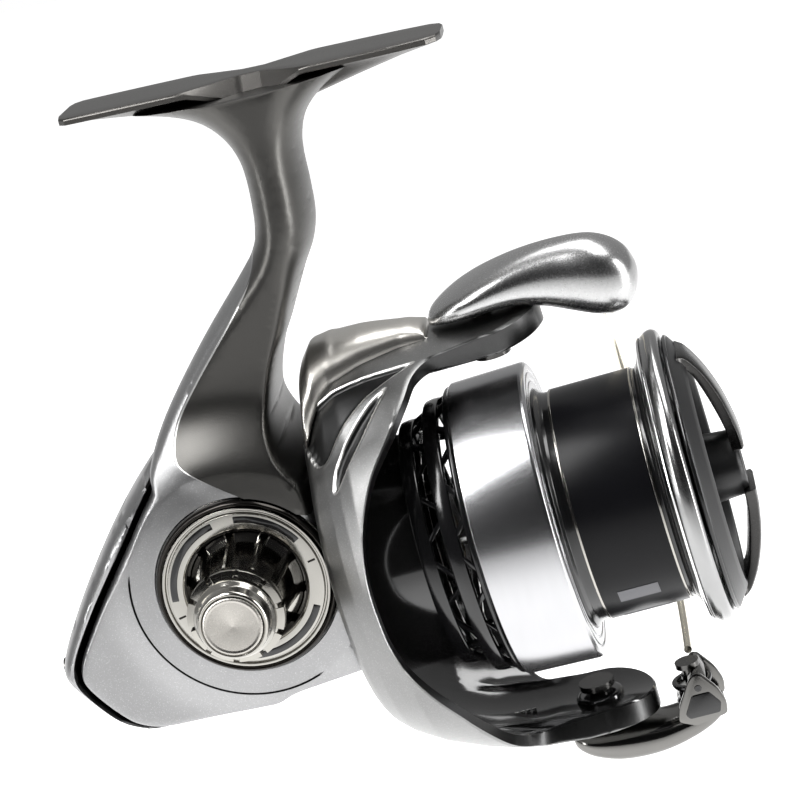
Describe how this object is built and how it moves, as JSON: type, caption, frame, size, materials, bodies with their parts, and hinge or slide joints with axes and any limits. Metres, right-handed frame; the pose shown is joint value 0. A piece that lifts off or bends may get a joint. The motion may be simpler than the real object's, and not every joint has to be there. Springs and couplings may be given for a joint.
{
  "type": "spinning reel",
  "caption": "Spinning fishing reel with a geared crank, two-armed rotor with bail, stroking spool and front drag knob.",
  "frame": {"origin": "centre of the reel foot's top seat face, which lies against the rod", "axes": "+Z along the seat's normal into the rod, +X towards the rod tip and the spool, +Y to the handle side"},
  "size_m": [0.1039, 0.1016, 0.1103],
  "materials": {
    "case_metal": "satin",
    "rear_cover_metal": "satin",
    "plate_nickel": "gloss",
    "rotor_metal": "satin",
    "arm_cover_metal": "satin",
    "spool_metal": "satin",
    "lip_metal": "gloss",
    "black_frame": "gloss",
    "label_black": "satin",
    "knob_black": "satin",
    "knob_arch": "gloss",
    "cap_chrome": "gloss",
    "cap_disc_metal": "satin",
    "lever_metal": "satin",
    "arm_chrome": "gloss",
    "wire_metal": "gloss",
    "handle_metal": "satin",
    "grip_rubber": "matte",
    "roller_black": "gloss",
    "clip_black": "gloss",
    "steel": "gloss",
    "screw_steel": "satin",
    "spring_steel": "satin",
    "gear_alloy": "satin",
    "gear_brass": "satin",
    "gear_plastic": "matte",
    "seal_rubber": "matte",
    "drag_felt": "matte"
  },
  "bodies": {
    "body": {"body_case": "case_metal", "rear_cover": "rear_cover_metal", "rear_cover_screws": "screw_steel", "engine_plate": "plate_nickel", "plate_seal": "seal_rubber", "drive_bearing_right": "steel", "drive_bearing_left": "steel", "left_bearing_cap": "handle_metal", "pinion_bearing": "steel", "pinion_bush": "gear_plastic", "clutch_ring": "screw_steel", "clutch_rollers": "steel", "clutch_retainer": "screw_steel", "retainer_screws": "screw_steel", "guide_rod": "steel", "oscillation_axle": "steel", "front_seal": "seal_rubber"},
    "crank": {"drive_gear": "gear_alloy", "crank_cap": "cap_chrome", "cap_disc": "cap_disc_metal", "handle_shaft": "steel", "handle_arm": "handle_metal", "knob_spindle": "steel"},
    "grip": {"handle_knob": "grip_rubber", "knob_cap": "handle_metal", "knob_bushes": "gear_plastic"},
    "oscillator": {"oscillation_gear": "gear_plastic"},
    "shaft": {"main_shaft": "steel", "slider": "gear_alloy", "slider_screws": "screw_steel", "shaft_sleeve": "steel", "shaft_washer": "gear_plastic"},
    "spool": {"spool": "spool_metal", "skirt_frame": "black_frame", "spool_lip": "lip_metal", "arbor_wrap": "label_black", "drag_felts": "drag_felt", "drag_plates": "steel", "drag_retainer": "screw_steel", "line_clip": "clip_black"},
    "knob": {"drag_knob": "knob_black", "knob_arches": "knob_arch", "drag_nut": "screw_steel", "drag_spring": "spring_steel"},
    "rotor": {"rotor": "rotor_metal", "pinion_gear": "gear_brass", "rotor_nut": "screw_steel", "nut_retainer": "screw_steel", "clutch_sleeve": "screw_steel", "arm_cover_upper": "arm_cover_metal", "arm_cover_lower": "arm_cover_metal", "bail_spring": "spring_steel"},
    "kick": {"kick_lever": "spring_steel"},
    "bail": {"bail_wire": "wire_metal", "bail_lever": "lever_metal", "bail_arm": "arm_chrome", "bail_screws": "screw_steel", "roller_screw": "screw_steel"},
    "roller": {"line_roller": "roller_black", "roller_bearing": "steel"}
  },
  "joints": [
    {"name": "crank_turn", "type": "hinge", "parent": "body", "child": "crank", "pos_m": [-0.0129, 0, -0.06856], "axis": [0, 1, 0], "continuous": true},
    {"name": "grip_spin", "type": "hinge", "parent": "crank", "child": "grip", "pos_m": [0.02581, 0.046, -0.09341], "axis": [0, 1, 0], "continuous": true},
    {"name": "oscillator_spin", "type": "hinge", "parent": "body", "child": "oscillator", "pos_m": [-0.02287, 0, -0.07728], "axis": [0, 1, 0], "continuous": true},
    {"name": "rotor_spin", "type": "hinge", "parent": "body", "child": "rotor", "pos_m": [0.00553, 0, -0.07349], "axis": [0.9972, 0, 0.075], "continuous": true},
    {"name": "spool_stroke", "type": "slide", "parent": "body", "child": "shaft", "axis": [0.9972, 0, 0.075], "range_m": [-0.005, 0.005]},
    {"name": "spool_slip", "type": "hinge", "parent": "shaft", "child": "spool", "pos_m": [0.00553, 0, -0.07349], "axis": [0.9972, 0, 0.075], "continuous": true},
    {"name": "drag_turn", "type": "hinge", "parent": "shaft", "child": "knob", "pos_m": [0.00553, 0, -0.07349], "axis": [0.9972, 0, 0.075], "range_deg": [-360, 360]},
    {"name": "bail_swing", "type": "hinge", "parent": "rotor", "child": "bail", "pos_m": [0.02876, 0, -0.07175], "axis": [0.075, 0, -0.9972], "range_deg": [0, 110]},
    {"name": "kick_swing", "type": "hinge", "parent": "rotor", "child": "kick", "pos_m": [0.01057, 0, -0.04453], "axis": [0.075, 0, -0.9972], "range_deg": [0, 12]},
    {"name": "roller_spin", "type": "hinge", "parent": "bail", "child": "roller", "pos_m": [0.04472, 0, -0.10264], "axis": [-0.075, 0, 0.9972], "continuous": true}
  ],
  "couplings": [
    {"joint": "oscillator_spin", "follows": "crank_turn", "ratio": -0.375},
    {"joint": "rotor_spin", "follows": "crank_turn", "ratio": 5.3333},
    {"joint": "kick_swing", "follows": "bail_swing", "ratio": 0.10909}
  ]
}
